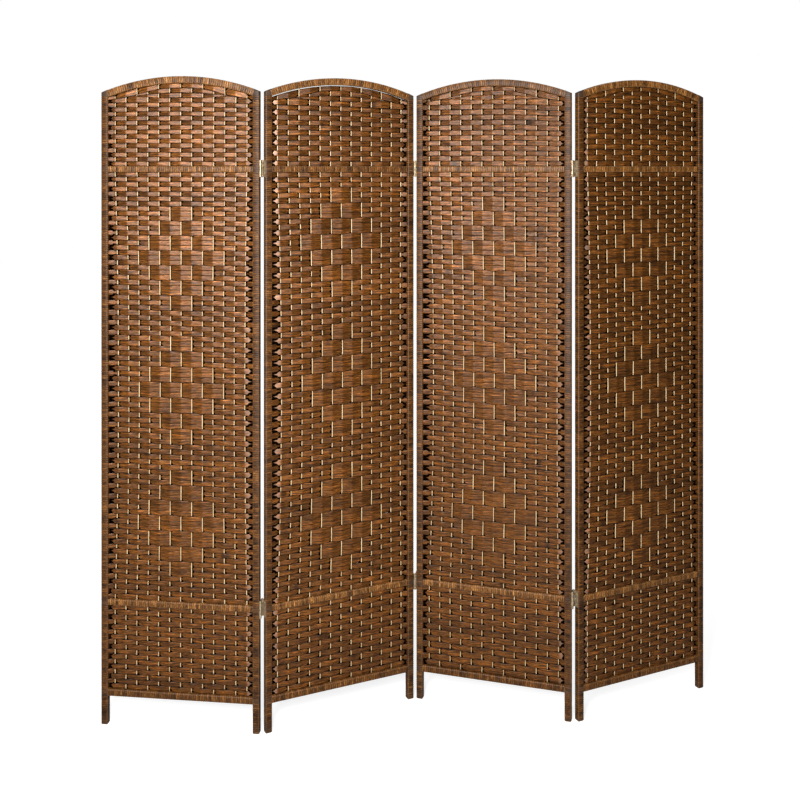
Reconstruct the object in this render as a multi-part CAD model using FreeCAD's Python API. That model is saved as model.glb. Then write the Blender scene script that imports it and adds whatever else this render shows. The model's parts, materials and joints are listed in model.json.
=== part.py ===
import FreeCAD, Part
import math
import os

# Folding room divider: four arched, hand-woven panels joined edge to edge by two-way metal hinges.
# All lengths are millimetres. +Z is up, -Y is the front, and the panels run along +X from the first to the
# fourth. The origin is on the floor, under the middle of the whole screen as it stands in a zig-zag.

# ---- driving dimensions ------------------------------------------------------------------------------------
PANEL_WIDTH = 450.0          # over the two wrapped stiles
PANEL_HEIGHT = 1800.0        # floor to the highest point of the arch
CORNER_HEIGHT = 1757.0       # floor to the outer top corners
FRAME_DEPTH = 19.0           # front to back over the wrap
WRAP = 1.0                   # thickness of the fibre wound round every frame member
EDGE_RADIUS = 3.2            # rounding of the long wrapped edges
ARCH_EDGE_RADIUS = 2.8       # the same on the arched top rail
FOOT_SHOW = 2.0              # bare wood under the wrap of each leg
FOOT_CHAMFER = 1.0           # bevel round the bare end of each leg
ON_FLOOR = 0.01              # an edge lower than this lies on the floor

CROSS_RAIL = 17.0            # wrapped height and depth of the two cross rails
UPPER_RAIL_Z = 1543.5        # centre line heights
LOWER_RAIL_Z = 340.0
BOTTOM_RAIL_Z = 89.5         # the bottom rail is as deep as the stiles

STAKES = 13
STAKE_PITCH = 31.35
STAKE_RADIUS = 2.0
STAKE_FIT = 0.05             # play of a stake in its holes and in the weave
STAKE_SOCKET = 8.0           # depth of the blind holes in the top and bottom rails

WEAVE_DEPTH = 7.0            # front to back through the woven bays

# direction of each panel's width seen from above, in degrees from +X
HEADINGS = (-6.74, 25.16, -17.08, 25.53)

HINGE_GAP = 7.0              # between the neighbouring wrapped stiles when the panels lie in line
HINGE_HEIGHT = 45.0
HINGE_CENTRES_Z = (1545.0, 341.0)
PIN_OFFSET = 10.0            # from the middle of the frame's depth to either pin
PIN_RADIUS = 1.5
PIN_PLAY = 0.05              # radial play of a leaf's knuckle on its pin
PIN_HEAD_RADIUS = 2.3
PIN_HEAD_TOP_RADIUS = 1.4
PIN_HEAD_HEIGHT = 1.2
BARREL_RADIUS = 3.2
KNUCKLE_GAP = 0.2            # up and down between knuckles
LINK_KNUCKLE = 15.0          # height of the link's middle knuckles
LEAF_THICKNESS = 1.4
LEAF_HALF_WIDTH = 6.8
LINK_HALF_WIDTH = 6.6
PIN_END_PLAY = 0.1           # between a pin's head and the knuckle under it

SCREW_HEIGHTS = (-15.0, 0.0, 15.0)
SCREW_STAGGER = 2.5
SCREW_RADIUS = 1.3
SCREW_HEAD_RADIUS = 2.5
SCREW_SINK = 1.2             # depth of the countersunk cone
SCREW_DOME = 0.4
SCREW_LENGTH = 12.0
SCREW_TIP = 2.0              # length of the pointed end
SCREW_POINT_RADIUS = 0.2
SCREW_PLAY = 0.06            # radial play of a screw in its hole
SLOT_WIDTH = 0.6
SLOT_DEPTH = 0.5

# ---- derived -----------------------------------------------------------------------------------------------
HALF_DEPTH = FRAME_DEPTH / 2
MIDDLE = PANEL_WIDTH / 2
ARCH_RISE = PANEL_HEIGHT - CORNER_HEIGHT
ARCH_RADIUS = (MIDDLE ** 2 + ARCH_RISE ** 2) / (2 * ARCH_RISE)
ARCH_CENTRE_Z = PANEL_HEIGHT - ARCH_RADIUS
ARCH_INNER = ARCH_RADIUS - FRAME_DEPTH
STAKE_XS = [MIDDLE + (n - (STAKES - 1) / 2) * STAKE_PITCH for n in range(STAKES)]
BIG = 3000.0                 # larger than the screen, for cutting shapes
PANELS = len(HEADINGS)

V = FreeCAD.Vector
X_AXIS, Y_AXIS, Z_AXIS = V(1, 0, 0), V(0, 1, 0), V(0, 0, 1)


# ---- basic shapes ------------------------------------------------------------------------------------------
def box(x0, x1, y0, y1, z0, z1):
    """A box between two corners."""
    return Part.makeBox(x1 - x0, y1 - y0, z1 - z0, V(x0, y0, z0))


def rounded_face(centre, half_a, half_b, radius, a, b):
    """A rounded rectangle on the plane of the directions a and b."""
    normal = a.cross(b)
    edges = []
    corners = [(1, 1), (-1, 1), (-1, -1), (1, -1)]
    starts, ends = [], []
    for n, (sa, sb) in enumerate(corners):
        middle = centre + a * (sa * (half_a - radius)) + b * (sb * (half_b - radius))
        turn = math.degrees(math.atan2(sb, sa))
        first, last = math.radians(turn - 45), math.radians(turn + 45)
        points = []
        for angle in (first, math.radians(turn), last):
            points.append(middle + a * (radius * math.cos(angle)) + b * (radius * math.sin(angle)))
        edges.append(Part.Arc(*points).toShape())
        starts.append(points[0])
        ends.append(points[2])
    for n in range(4):
        edges.append(Part.makeLine(ends[n], starts[(n + 1) % 4]))
    wire = Part.Wire(Part.__sortEdges__(edges))
    face = Part.Face(wire)
    if face.normalAt(0, 0).dot(normal) < 0:
        face.reverse()
    return face


def bar_up(x_centre, half, radius, z0, z1):
    """A square upright with rounded long edges."""
    face = rounded_face(V(x_centre, 0, z0), half, half, radius, X_AXIS, Y_AXIS)
    return face.extrude(V(0, 0, z1 - z0))


def bar_across(z_centre, half, radius, x0, x1):
    """A square cross bar with rounded long edges."""
    face = rounded_face(V(x0, 0, z_centre), half, half, radius, Y_AXIS, Z_AXIS)
    return face.extrude(V(x1 - x0, 0, 0))


def arch_disc(radius):
    """Everything under a circle about the arch's centre."""
    return Part.makeCylinder(radius, BIG, V(MIDDLE, -BIG / 2, ARCH_CENTRE_Z), Y_AXIS)


def under_arch(shape, radius):
    """The shape with all that stands above the arch of this radius taken off."""
    low = box(-BIG, BIG, -BIG, BIG, -BIG, ARCH_CENTRE_Z)
    return shape.common(arch_disc(radius).fuse(low))


def arch_bar(outer, inner, half, edge_radius, x0, x1):
    """A bar bent along the arch between two radii, with upright ends and, if asked, rounded long edges."""
    def on_arch(radius, x):
        return V(x, -half, ARCH_CENTRE_Z + math.sqrt(radius ** 2 - (x - MIDDLE) ** 2))

    top = [on_arch(outer, x) for x in (x0, MIDDLE, x1)]
    under = [on_arch(inner, x) for x in (x1, MIDDLE, x0)]
    edges = [
        Part.Arc(*top).toShape(),
        Part.makeLine(top[2], under[0]),
        Part.Arc(*under).toShape(),
        Part.makeLine(under[2], top[0]),
    ]
    bar = Part.Face(Part.Wire(edges)).extrude(V(0, 2 * half, 0))
    if not edge_radius:
        return bar
    along = [e for e in bar.Edges if e.BoundBox.XLength > (x1 - x0) / 2]
    return bar.makeFillet(edge_radius, along)


# ---- one panel, in its own frame: x along its width, y towards the back, z up ---------------------------------
HALF_WOOD = HALF_DEPTH - WRAP
WOOD_EDGE = EDGE_RADIUS - WRAP
STILE_XS = (HALF_DEPTH, PANEL_WIDTH - HALF_DEPTH)
RAIL_ENDS = (FRAME_DEPTH - WRAP, PANEL_WIDTH - FRAME_DEPTH + WRAP)
BAY_SIDES = (FRAME_DEPTH, PANEL_WIDTH - FRAME_DEPTH)
RAILS = {
    "upper_rail": (UPPER_RAIL_Z, CROSS_RAIL / 2),
    "lower_rail": (LOWER_RAIL_Z, CROSS_RAIL / 2),
    "bottom_rail": (BOTTOM_RAIL_Z, HALF_DEPTH),
}


def stake_top(x, depth):
    """Height on the underside of the top rail's wood at x, plus a depth into it."""
    return ARCH_CENTRE_Z + math.sqrt((ARCH_INNER + WRAP) ** 2 - (x - MIDDLE) ** 2) + depth


def stakes(radius, extra):
    """The upright stakes as a list of rods; radius and extra length also serve for their holes."""
    bottom = BOTTOM_RAIL_Z + HALF_WOOD - STAKE_SOCKET - extra
    rods = []
    for x in STAKE_XS:
        top = stake_top(x, STAKE_SOCKET + extra)
        rods.append(Part.makeCylinder(radius, top - bottom, V(x, 0, bottom), Z_AXIS))
    return rods


def screw_spots(side):
    """Face, height and direction of each hinge screw of one stile; side is -1 for a panel's left edge, +1 for its right."""
    x_face = -LEAF_THICKNESS if side < 0 else PANEL_WIDTH + LEAF_THICKNESS
    spots = []
    for centre in HINGE_CENTRES_Z:
        for n, height in enumerate(SCREW_HEIGHTS):
            y = SCREW_STAGGER if n % 2 else -SCREW_STAGGER
            spots.append((x_face, y, centre + height, -side))
    return spots


def screw(x_face, y, z, inward):
    """A countersunk screw whose head closes a leaf's face at x_face; inward is +1 or -1 along x."""
    axis = V(inward, 0, 0)
    head = Part.makeCone(SCREW_HEAD_RADIUS, SCREW_RADIUS, SCREW_SINK, V(x_face, y, z), axis)
    shank_length = SCREW_LENGTH - SCREW_SINK - SCREW_TIP
    start = x_face + inward * SCREW_SINK
    shank = Part.makeCylinder(SCREW_RADIUS, shank_length, V(start, y, z), axis)
    tip_start = V(start + inward * shank_length, y, z)
    point = Part.makeCone(SCREW_RADIUS, SCREW_POINT_RADIUS, SCREW_TIP, tip_start, axis)
    ball_radius = (SCREW_HEAD_RADIUS ** 2 + SCREW_DOME ** 2) / (2 * SCREW_DOME)
    ball = Part.makeSphere(ball_radius, V(x_face + inward * (ball_radius - SCREW_DOME), y, z))
    cap = Part.makeCylinder(SCREW_HEAD_RADIUS, SCREW_DOME, V(x_face - inward * SCREW_DOME, y, z), axis)
    body = head.fuse([shank, point, ball.common(cap)])
    outer = x_face - inward * SCREW_DOME
    x0, x1 = sorted((outer, outer + inward * SLOT_DEPTH))
    slot = box(x0, x1, y - SLOT_WIDTH / 2, y + SLOT_WIDTH / 2, z - SCREW_HEAD_RADIUS, z + SCREW_HEAD_RADIUS)
    return body.cut(slot).removeSplitter()


def screw_hole(x_face, y, z, inward):
    """The countersunk hole for one screw, a little wider than the screw all round."""
    axis = V(inward, 0, 0)
    wide, narrow = SCREW_HEAD_RADIUS + SCREW_PLAY, SCREW_RADIUS + SCREW_PLAY
    cone = Part.makeCone(wide, narrow, SCREW_SINK, V(x_face, y, z), axis)
    depth = SCREW_LENGTH - SCREW_SINK + SCREW_PLAY
    return cone.fuse(Part.makeCylinder(narrow, depth, V(x_face + inward * SCREW_SINK, y, z), axis))


def barrel(y, z0, z1, bore):
    """A rolled knuckle about one pin, with its bore open."""
    outer = Part.makeCylinder(BARREL_RADIUS, z1 - z0, V(0, y, z0), Z_AXIS)
    return outer, Part.makeCylinder(bore, z1 - z0, V(0, y, z0), Z_AXIS)


def leaf(side, centre):
    """One screwed leaf about the gap's middle: side -1 holds the front pin, side +1 the back pin."""
    low, high = centre - HINGE_HEIGHT / 2, centre + HINGE_HEIGHT / 2
    half_link = LINK_KNUCKLE / 2 + KNUCKLE_GAP
    outer = side * HINGE_GAP / 2
    x0, x1 = sorted((outer, outer - side * LEAF_THICKNESS))
    shape = box(x0, x1, -LEAF_HALF_WIDTH, LEAF_HALF_WIDTH, low, high)
    pin_y = side * PIN_OFFSET
    y0, y1 = sorted((pin_y, side * LEAF_HALF_WIDTH))
    bores = []
    for z0, z1 in ((low, centre - half_link), (centre + half_link, high)):
        roll, bore = barrel(pin_y, z0, z1, PIN_RADIUS + PIN_PLAY)
        shape = shape.fuse([box(x0, x1, y0, y1, z0, z1), roll])
        bores.append(bore)
    return shape.cut(bores).removeSplitter()


def link(centre):
    """The middle plate of a hinge, with one knuckle on each pin."""
    low, high = centre - HINGE_HEIGHT / 2, centre + HINGE_HEIGHT / 2
    half = LEAF_THICKNESS / 2
    shape = box(-half, half, -LINK_HALF_WIDTH, LINK_HALF_WIDTH, low, high)
    z0, z1 = centre - LINK_KNUCKLE / 2, centre + LINK_KNUCKLE / 2
    bores = []
    for side in (-1, 1):
        roll, bore = barrel(side * PIN_OFFSET, z0, z1, PIN_RADIUS)
        y0, y1 = sorted((side * PIN_OFFSET, side * LINK_HALF_WIDTH))
        shape = shape.fuse([box(-half, half, y0, y1, z0, z1), roll])
        bores.append(bore)
    return shape.cut(bores).removeSplitter()


def pin(side, centre):
    """One hinge pin with a small domed head at each end."""
    y = side * PIN_OFFSET
    half = HINGE_HEIGHT / 2 + PIN_END_PLAY
    rod = Part.makeCylinder(PIN_RADIUS, 2 * half, V(0, y, centre - half), Z_AXIS)
    heads = []
    for up in (-1, 1):
        axis = V(0, 0, up)
        foot = V(0, y, centre + up * half)
        heads.append(Part.makeCone(PIN_HEAD_RADIUS, PIN_HEAD_TOP_RADIUS, PIN_HEAD_HEIGHT, foot, axis))
    return rod.fuse(heads).removeSplitter()


def panel(left_hinged, right_hinged):
    """Every node of one panel in its own frame, as lists of solids by name."""
    spots = []
    if left_hinged:
        spots += screw_spots(-1)
    if right_hinged:
        spots += screw_spots(1)
    holes = [screw_hole(*spot) for spot in spots]
    rods = stakes(STAKE_RADIUS, 0)
    sockets = stakes(STAKE_RADIUS + STAKE_FIT, STAKE_FIT)

    wood = {}
    for name, x in zip(("left_stile", "right_stile"), STILE_XS):
        upright = bar_up(x, HALF_WOOD, WOOD_EDGE, 0, PANEL_HEIGHT)
        upright = under_arch(upright, ARCH_RADIUS - WRAP)
        foot = [e for e in upright.Edges if e.BoundBox.ZMax < ON_FLOOR]
        wood[name] = upright.makeChamfer(FOOT_CHAMFER, foot)
    wood["top_rail"] = arch_bar(ARCH_RADIUS - WRAP, ARCH_INNER + WRAP, HALF_WOOD, 0, *RAIL_ENDS)
    for name, (z, half) in RAILS.items():
        wood[name] = bar_across(z, half - WRAP, WOOD_EDGE, *RAIL_ENDS)

    rails_wood = [wood[name] for name in ("top_rail", "upper_rail", "lower_rail", "bottom_rail")]
    wraps = []
    for name, x in zip(("left_stile", "right_stile"), STILE_XS):
        sleeve = bar_up(x, HALF_DEPTH, EDGE_RADIUS, FOOT_SHOW, PANEL_HEIGHT)
        sleeve = under_arch(sleeve, ARCH_RADIUS)
        wraps.append(sleeve.cut([wood[name]] + rails_wood))
    sleeve = arch_bar(ARCH_RADIUS, ARCH_INNER, HALF_DEPTH, ARCH_EDGE_RADIUS, *BAY_SIDES)
    wraps.append(sleeve.cut([wood["top_rail"]]))
    for name, (z, half) in RAILS.items():
        sleeve = bar_across(z, half, EDGE_RADIUS, *BAY_SIDES)
        wraps.append(sleeve.cut([wood[name]]))

    bays = {
        "weave_bottom": (BOTTOM_RAIL_Z + HALF_DEPTH, LOWER_RAIL_Z - CROSS_RAIL / 2),
        "weave_middle": (LOWER_RAIL_Z + CROSS_RAIL / 2, UPPER_RAIL_Z - CROSS_RAIL / 2),
        "weave_top": (UPPER_RAIL_Z + CROSS_RAIL / 2, PANEL_HEIGHT),
    }
    half_weave = WEAVE_DEPTH / 2
    nodes = {}
    for name, shape in wood.items():
        cutters = holes if "stile" in name else sockets
        nodes[name] = [shape.cut(cutters)] if cutters else [shape]
    nodes["stakes"] = rods
    nodes["frame_wraps"] = [w.cut(sockets + holes) for w in wraps]
    for name, (z0, z1) in bays.items():
        sheet = box(BAY_SIDES[0], BAY_SIDES[1], -half_weave, half_weave, z0, z1)
        if name == "weave_top":
            sheet = under_arch(sheet, ARCH_INNER)
        nodes[name] = [sheet.cut(sockets)]
    nodes["hinge_screws"] = [screw(*spot) for spot in spots]
    return nodes, holes


# ---- the whole screen ----------------------------------------------------------------------------------------
def turned(heading, x, y):
    """A panel-frame point turned by a heading."""
    c, s = math.cos(math.radians(heading)), math.sin(math.radians(heading))
    return V(c * x - s * y, s * x + c * y, 0)


def folded_pin(joint):
    """-1 or +1: the pin that a joint is folded about, the back pin at a ridge and the front pin at a valley."""
    return 1 if HEADINGS[joint + 1] > HEADINGS[joint] else -1


def panel_origins():
    """Where each panel's frame stands on the floor, chained from hinge to hinge."""
    origins = [V(0, 0, 0)]
    for joint in range(PANELS - 1):
        y = folded_pin(joint) * PIN_OFFSET
        axis = origins[-1] + turned(HEADINGS[joint], PANEL_WIDTH + HINGE_GAP / 2, y)
        origins.append(axis - turned(HEADINGS[joint + 1], -HINGE_GAP / 2, y))
    return origins


def placed(shape, origin, heading):
    """A copy of a shape moved from its panel's frame into the screen's frame."""
    copy = shape.copy()
    copy.rotate(V(0, 0, 0), Z_AXIS, heading)
    copy.translate(origin)
    return copy


def hinge_holes_in_leaf(shape, cutters, shift):
    """A leaf with its countersunk screw holes; cutters are in the panel's frame."""
    moved = []
    for cutter in cutters:
        copy = cutter.copy()
        copy.translate(V(-shift, 0, 0))
        moved.append(copy)
    return shape.cut(moved)


def main():
    origins = panel_origins()
    nodes = {}
    for n in range(PANELS):
        parts, holes = panel(n > 0, n < PANELS - 1)
        for name, solids in parts.items():
            nodes[f"panel_{n + 1}_{name}"] = [placed(s, origins[n], HEADINGS[n]) for s in solids]
        left = [h for h in holes if h.BoundBox.XMin < MIDDLE]
        right = [h for h in holes if h.BoundBox.XMin > MIDDLE]
        if right:
            shift = PANEL_WIDTH + HINGE_GAP / 2
            leaves = [hinge_holes_in_leaf(leaf(-1, z), right, shift) for z in HINGE_CENTRES_Z]
            start = origins[n] + turned(HEADINGS[n], shift, 0)
            nodes[f"hinge_{n + 1}{n + 2}_left_leaves"] = [placed(s, start, HEADINGS[n]) for s in leaves]
        if left:
            shift = -HINGE_GAP / 2
            leaves = [hinge_holes_in_leaf(leaf(1, z), left, shift) for z in HINGE_CENTRES_Z]
            start = origins[n] + turned(HEADINGS[n], shift, 0)
            nodes[f"hinge_{n}{n + 1}_right_leaves"] = [placed(s, start, HEADINGS[n]) for s in leaves]

    pin_spots = {}
    for joint in range(PANELS - 1):
        # at a ridge the link stays beside the left panel, at a valley beside the right one
        if folded_pin(joint) > 0:
            heading = HEADINGS[joint]
            start = origins[joint] + turned(heading, PANEL_WIDTH + HINGE_GAP / 2, 0)
        else:
            heading = HEADINGS[joint + 1]
            start = origins[joint + 1] + turned(heading, -HINGE_GAP / 2, 0)
        key = f"hinge_{joint + 1}{joint + 2}"
        nodes[f"{key}_links"] = [placed(link(z), start, heading) for z in HINGE_CENTRES_Z]
        pins = [pin(side, z) for z in HINGE_CENTRES_Z for side in (-1, 1)]
        nodes[f"{key}_pins"] = [placed(s, start, heading) for s in pins]
        for side, word in ((-1, "front"), (1, "back")):
            pin_spots[f"{key}_{word}"] = start + turned(heading, 0, side * PIN_OFFSET)

    whole = Part.makeCompound([s for solids in nodes.values() for s in solids]).optimalBoundingBox(False, False)
    shift = V(-(whole.XMin + whole.XMax) / 2, -(whole.YMin + whole.YMax) / 2, 0)
    os.makedirs("parts", exist_ok=True)
    for name, solids in sorted(nodes.items()):
        for solid in solids:
            solid.translate(shift)
        solids = [piece for s in solids for piece in s.Solids]
        shape = solids[0] if len(solids) == 1 else Part.makeCompound(solids)
        shape.exportStep(f"parts/{name}.step")
        print(name, len(solids), "solids", round(sum(s.Volume for s in solids)), "mm3")
    for n, origin in enumerate(origins):
        spot = origin + shift
        print(f"panel {n + 1} origin {spot.x:.4f} {spot.y:.4f} heading {HEADINGS[n]}")
    for name, spot in pin_spots.items():
        print(f"pin {name} {spot.x + shift.x:.4f} {spot.y + shift.y:.4f}")
    print(f"size {whole.XLength:.3f} {whole.YLength:.3f} {whole.ZLength:.3f}")


main()
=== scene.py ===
import json
import math

import bpy
import numpy as np
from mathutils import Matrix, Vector


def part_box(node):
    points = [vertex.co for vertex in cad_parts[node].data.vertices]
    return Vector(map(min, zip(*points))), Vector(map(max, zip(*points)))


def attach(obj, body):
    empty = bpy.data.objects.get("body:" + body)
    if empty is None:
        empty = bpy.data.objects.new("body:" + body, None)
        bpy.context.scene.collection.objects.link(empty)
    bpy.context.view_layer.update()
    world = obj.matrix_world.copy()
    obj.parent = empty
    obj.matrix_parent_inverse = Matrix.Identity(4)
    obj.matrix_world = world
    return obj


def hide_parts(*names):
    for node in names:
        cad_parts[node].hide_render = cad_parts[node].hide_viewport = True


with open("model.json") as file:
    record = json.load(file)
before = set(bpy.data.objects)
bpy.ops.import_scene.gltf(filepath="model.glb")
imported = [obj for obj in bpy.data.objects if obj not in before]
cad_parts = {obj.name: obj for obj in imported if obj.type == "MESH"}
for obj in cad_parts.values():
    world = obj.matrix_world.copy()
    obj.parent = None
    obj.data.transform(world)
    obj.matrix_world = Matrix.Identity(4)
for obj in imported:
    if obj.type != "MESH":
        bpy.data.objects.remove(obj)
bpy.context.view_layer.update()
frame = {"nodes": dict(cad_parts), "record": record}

# ---- sizes, in metres -------------------------------------------------------------------------------------------
PANELS = 4
STAKES = 13
WIDTH = 0.450
HEIGHT = 1.800
CORNER_HEIGHT = 1.757
FRAME_DEPTH = 0.019
HALF_DEPTH = FRAME_DEPTH / 2
STAKE_PITCH = 0.03135
MIDDLE = WIDTH / 2
RISE = HEIGHT - CORNER_HEIGHT
ARCH_RADIUS = (MIDDLE ** 2 + RISE ** 2) / (2 * RISE)
ARCH_CENTRE_Z = HEIGHT - ARCH_RADIUS
ARCH_INNER = ARCH_RADIUS - FRAME_DEPTH
STAKE_US = MIDDLE + (np.arange(STAKES) - (STAKES - 1) / 2) * STAKE_PITCH

CREST = 0.0034            # from the stakes' plane to a ribbon's middle where it passes a stake
CREST_ROUND = 0.0016      # half length over which a ribbon turns at its crest
END_U = 0.0172            # where a ribbon's end is hidden in the stile's wrap
END_V = 0.0055
STAKE_SHOW = 0.0014       # radius of a stake between its sockets
STRANDS = 4
PEAK = 0.00095            # half thickness of a ribbon on a strand
VALLEY = 0.00035          # and between two strands
FULL = 1.15               # ribbon's width over the row pitch where it passes in front of a stake
BEHIND = 1.12             # where it passes behind one
NARROW = 1.05             # halfway between two stakes
FLUSH = 1.04              # and where three rows lie flush in a diamond
END_FULL = 0.9            # share of the way to the stile over which a ribbon keeps its full width
SPREAD = 0.12             # share of the pitch by which a diamond's outer rows reach over their neighbours
DISH = 0.45               # share of its depth by which a ribbon's edges curl back to the stakes' plane
DISH_POWER = 4.5          # how suddenly they curl
ROW_WAVER = 0.00042       # how far the line between two rows strays at a stake
ROW_SHIFT = 0.0001        # and how far a whole row does
SLACK, SLACK_RANGE = 0.07, (0.82, 1.15)   # how much a ribbon's crests differ
ROUGHNESS = 0.00012       # unevenness of a ribbon's surface
# the side of the stakes on which the painted shade in the corners is darkest, and the end of each panel whose ribbon
# ends take the stronger painted highlight: +1 right, -1 left
LIGHT_AND_SHADE_SIDE = {1: 1, 2: -1, 3: 1, 4: -1}
WEAK_SHADE_SIDE = 0.3           # how dark the painted shade in the corner on the other side is
SHADE_CORNER_REACH = 0.0088     # how far the painted shade in a corner reaches from a stake
# strength and limit of the painted shade in a corner beside a stake
SHADE_CORNER_DEPTH, SHADE_CORNER_LIMIT = 1.7, 0.72
STILE_SHADE_START = 0.0215      # where the painted shade beside a stile is darkest
# strength of the painted shade beside a stile
STILE_SHADE_DEPTH = 1.10
SHADE_CREASE_START, SHADE_CREASE_FADE = 0.0018, 0.0026    # the painted shade in the crease along a stake
LIT_SIDE, DIM_SIDE, UNDER_STAKE = 1.0, 0.15, -0.22    # painted highlight on the ribbons' ends beside the stiles: at the end towards the light, at the other end, and a painted shade where an end passes behind the outermost stake


def rng(*key):
    return np.random.default_rng(list(key))


# each rail's height and half thickness
RAILS = {"upper": (1.5435, 0.0085), "lower": (0.340, 0.0085), "bottom": (0.0895, 0.0095)}
MIDDLE_BAY = (RAILS["lower"][0] + RAILS["lower"][1], RAILS["upper"][0] - RAILS["upper"][1])
# how far the left and the right side of each panel's middle bay are drawn inwards
PULLS = {1: (0.010, 0.006), 2: (0.012, 0.003), 3: (0.013, 0.004), 4: (0.011, 0.007)}


# ---- panel frames ----------------------------------------------------------------------------------------------
def centre_of(node):
    low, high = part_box(node)
    return np.array([(low[0] + high[0]) / 2, (low[1] + high[1]) / 2])


class Panel:
    """One panel's own frame: u along its width, v towards its back, z up."""

    def __init__(self, number):
        self.number = number
        self.body = f"panel_{number}"
        left, right = (centre_of(f"panel_{number}_{side}_stile") for side in ("left", "right"))
        self.along = (right - left) / np.linalg.norm(right - left)
        self.back = np.array([-self.along[1], self.along[0]])
        self.origin = left - self.along * HALF_DEPTH
        self.pull = PULLS[number]

    def bow(self, u, z):
        """How far the middle bay's fibre and stakes are drawn inwards at a place."""
        t = np.clip((z - MIDDLE_BAY[0]) / (MIDDLE_BAY[1] - MIDDLE_BAY[0]), 0, 1)
        across = np.clip((u - STAKE_US[0]) / (STAKE_US[-1] - STAKE_US[0]), 0, 1)
        left, right = self.pull
        edge = np.clip((np.minimum(u, WIDTH - u) - END_U) / (STAKE_US[0] - END_U), 0, 1)
        return (left * (1 - across) - right * across) * edge * np.sin(math.pi * t) ** 0.8

    def world(self, u, v, z):
        xy = self.origin + np.multiply.outer(u, self.along) + np.multiply.outer(v, self.back)
        return np.concatenate([xy, np.asarray(z)[..., None]], axis=-1)


# ---- meshes ----------------------------------------------------------------------------------------------------
def make_mesh(name, points, quads, caps, values):
    """A mesh object from arrays: points, four-cornered faces, cap polygons and per-point attributes."""
    mesh = bpy.data.meshes.new(name)
    mesh.vertices.add(len(points))
    mesh.vertices.foreach_set("co", np.ascontiguousarray(points, np.float32).ravel())
    loops = np.concatenate([quads.ravel()] + [c.ravel() for c in caps]).astype(np.int32)
    totals = [np.full(len(quads), 4)] + [np.full(len(c), c.shape[1]) for c in caps]
    totals = np.concatenate(totals).astype(np.int32)
    starts = np.concatenate([[0], np.cumsum(totals)[:-1]]).astype(np.int32)
    mesh.loops.add(len(loops))
    mesh.loops.foreach_set("vertex_index", loops)
    mesh.polygons.add(len(totals))
    mesh.polygons.foreach_set("loop_start", starts)
    mesh.polygons.foreach_set("loop_total", totals)
    mesh.polygons.foreach_set("use_smooth", np.full(len(totals), True))
    for key, value in values.items():
        data = mesh.attributes.new(key, "FLOAT", "POINT").data
        data.foreach_set("value", np.ascontiguousarray(value, np.float32).ravel())
    mesh.update()
    mesh.validate()
    obj = bpy.data.objects.new(name, mesh)
    bpy.context.scene.collection.objects.link(obj)
    return obj


def tube_faces(stations, ring, start=0):
    """Quads of a closed tube of rings, and its two end caps."""
    i, j = np.meshgrid(np.arange(stations - 1), np.arange(ring), indexing="ij")
    a = start + i * ring + j
    b = start + i * ring + (j + 1) % ring
    quads = np.stack([a, b, b + ring, a + ring], -1).reshape(-1, 4)
    first = start + np.arange(ring)[::-1][None]
    last = start + (stations - 1) * ring + np.arange(ring)[None]
    return quads, first, last


# ---- weave -----------------------------------------------------------------------------------------------------
def arch_z(u, radius):
    return ARCH_CENTRE_Z + np.sqrt(radius ** 2 - (u - MIDDLE) ** 2)


STATION_STEPS = (0, 1.5, 3.0, 4.6, 7.8, 11.8, STAKE_PITCH * 500)      # from a stake, in mm
END_STATIONS = (END_U, 0.0205, 0.0245, 0.0290)
CLOSEST_STATIONS = 0.0007


def ribbon_stations():
    """Places along a ribbon, closest together where it turns."""
    steps = np.array(STATION_STEPS) / 1000
    out = list(END_STATIONS)
    for centre in STAKE_US:
        out += list(centre - steps[::-1]) + list(centre + steps[1:-1])
    out += [WIDTH - u for u in END_STATIONS[::-1]]
    out = np.array(sorted(set(np.round(out, 6))))
    keep = np.concatenate([[True], np.diff(out) > CLOSEST_STATIONS])
    return out[keep]


STATIONS = ribbon_stations()


def depth_profile(behind, u, slack):
    """The ribbon's path between front and back: behind holds the stakes that it passes at their back."""
    signs = np.array([1.0 if n + 1 in behind else -1.0 for n in range(STAKES)])
    knots_u = np.concatenate([[END_U], STAKE_US, [WIDTH - END_U]])
    knots_v = np.concatenate([[-signs[0] * END_V], signs * CREST * slack, [-signs[-1] * END_V]])
    total = np.zeros_like(u)
    offsets = np.linspace(-CREST_ROUND, CREST_ROUND, 7)
    for offset in offsets:
        total += np.interp(u + offset, knots_u, knots_v)
    return total / len(offsets)


def tabby(parity):
    """The stakes that show in a plain row: the odd ones or the even ones."""
    return {n for n in range(1, STAKES + 1) if n % 2 == parity}


DIAMOND = ((6, 8), (5, 7, 9), (4, 6, 8, 10), (3, 5, 7, 9, 11), (4, 6, 8, 10), (5, 7, 9), (6, 8))
BLOCK = 3                 # rows over which a long bar shows
BLOCK_MARGIN = 0.002      # how far a block's flush rows reach past its outer bars
DIAMOND_ROWS = BLOCK * len(DIAMOND)
DIAMOND_GAP = 5           # plain rows between two diamonds


def middle_rows(count, first):
    """For each row of a middle bay: the stakes that show, and which stakes bound its flush block if any."""
    rows = []
    for row in range(1, count + 1):
        shown = tabby(row % 2)
        block = None
        n, within = divmod(row - first, DIAMOND_ROWS + DIAMOND_GAP)
        if 0 <= n < 3 and within < DIAMOND_ROWS:
            bars = DIAMOND[within // BLOCK]
            block = (min(bars), max(bars), within % BLOCK)
            if within % BLOCK == 1:
                shown = set(bars) | {s for s in shown if s < min(bars) or s > max(bars)}
        rows.append((shown, block))
    return rows


def eased(count, tighten):
    """Shares of a bay's height at the rows' boundaries from the top; tighten packs the upper rows closer."""
    t = np.arange(count + 1) / count
    return t * (1 - tighten * (1 - t))


def smooth_noise(gen, amplitude):
    """A value for each station, changing slowly along the ribbon."""
    knots = gen.normal(0, amplitude, STAKES + 2)
    us = np.concatenate([[0], STAKE_US, [WIDTH]])
    return np.interp(STATIONS, us, knots)


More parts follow.
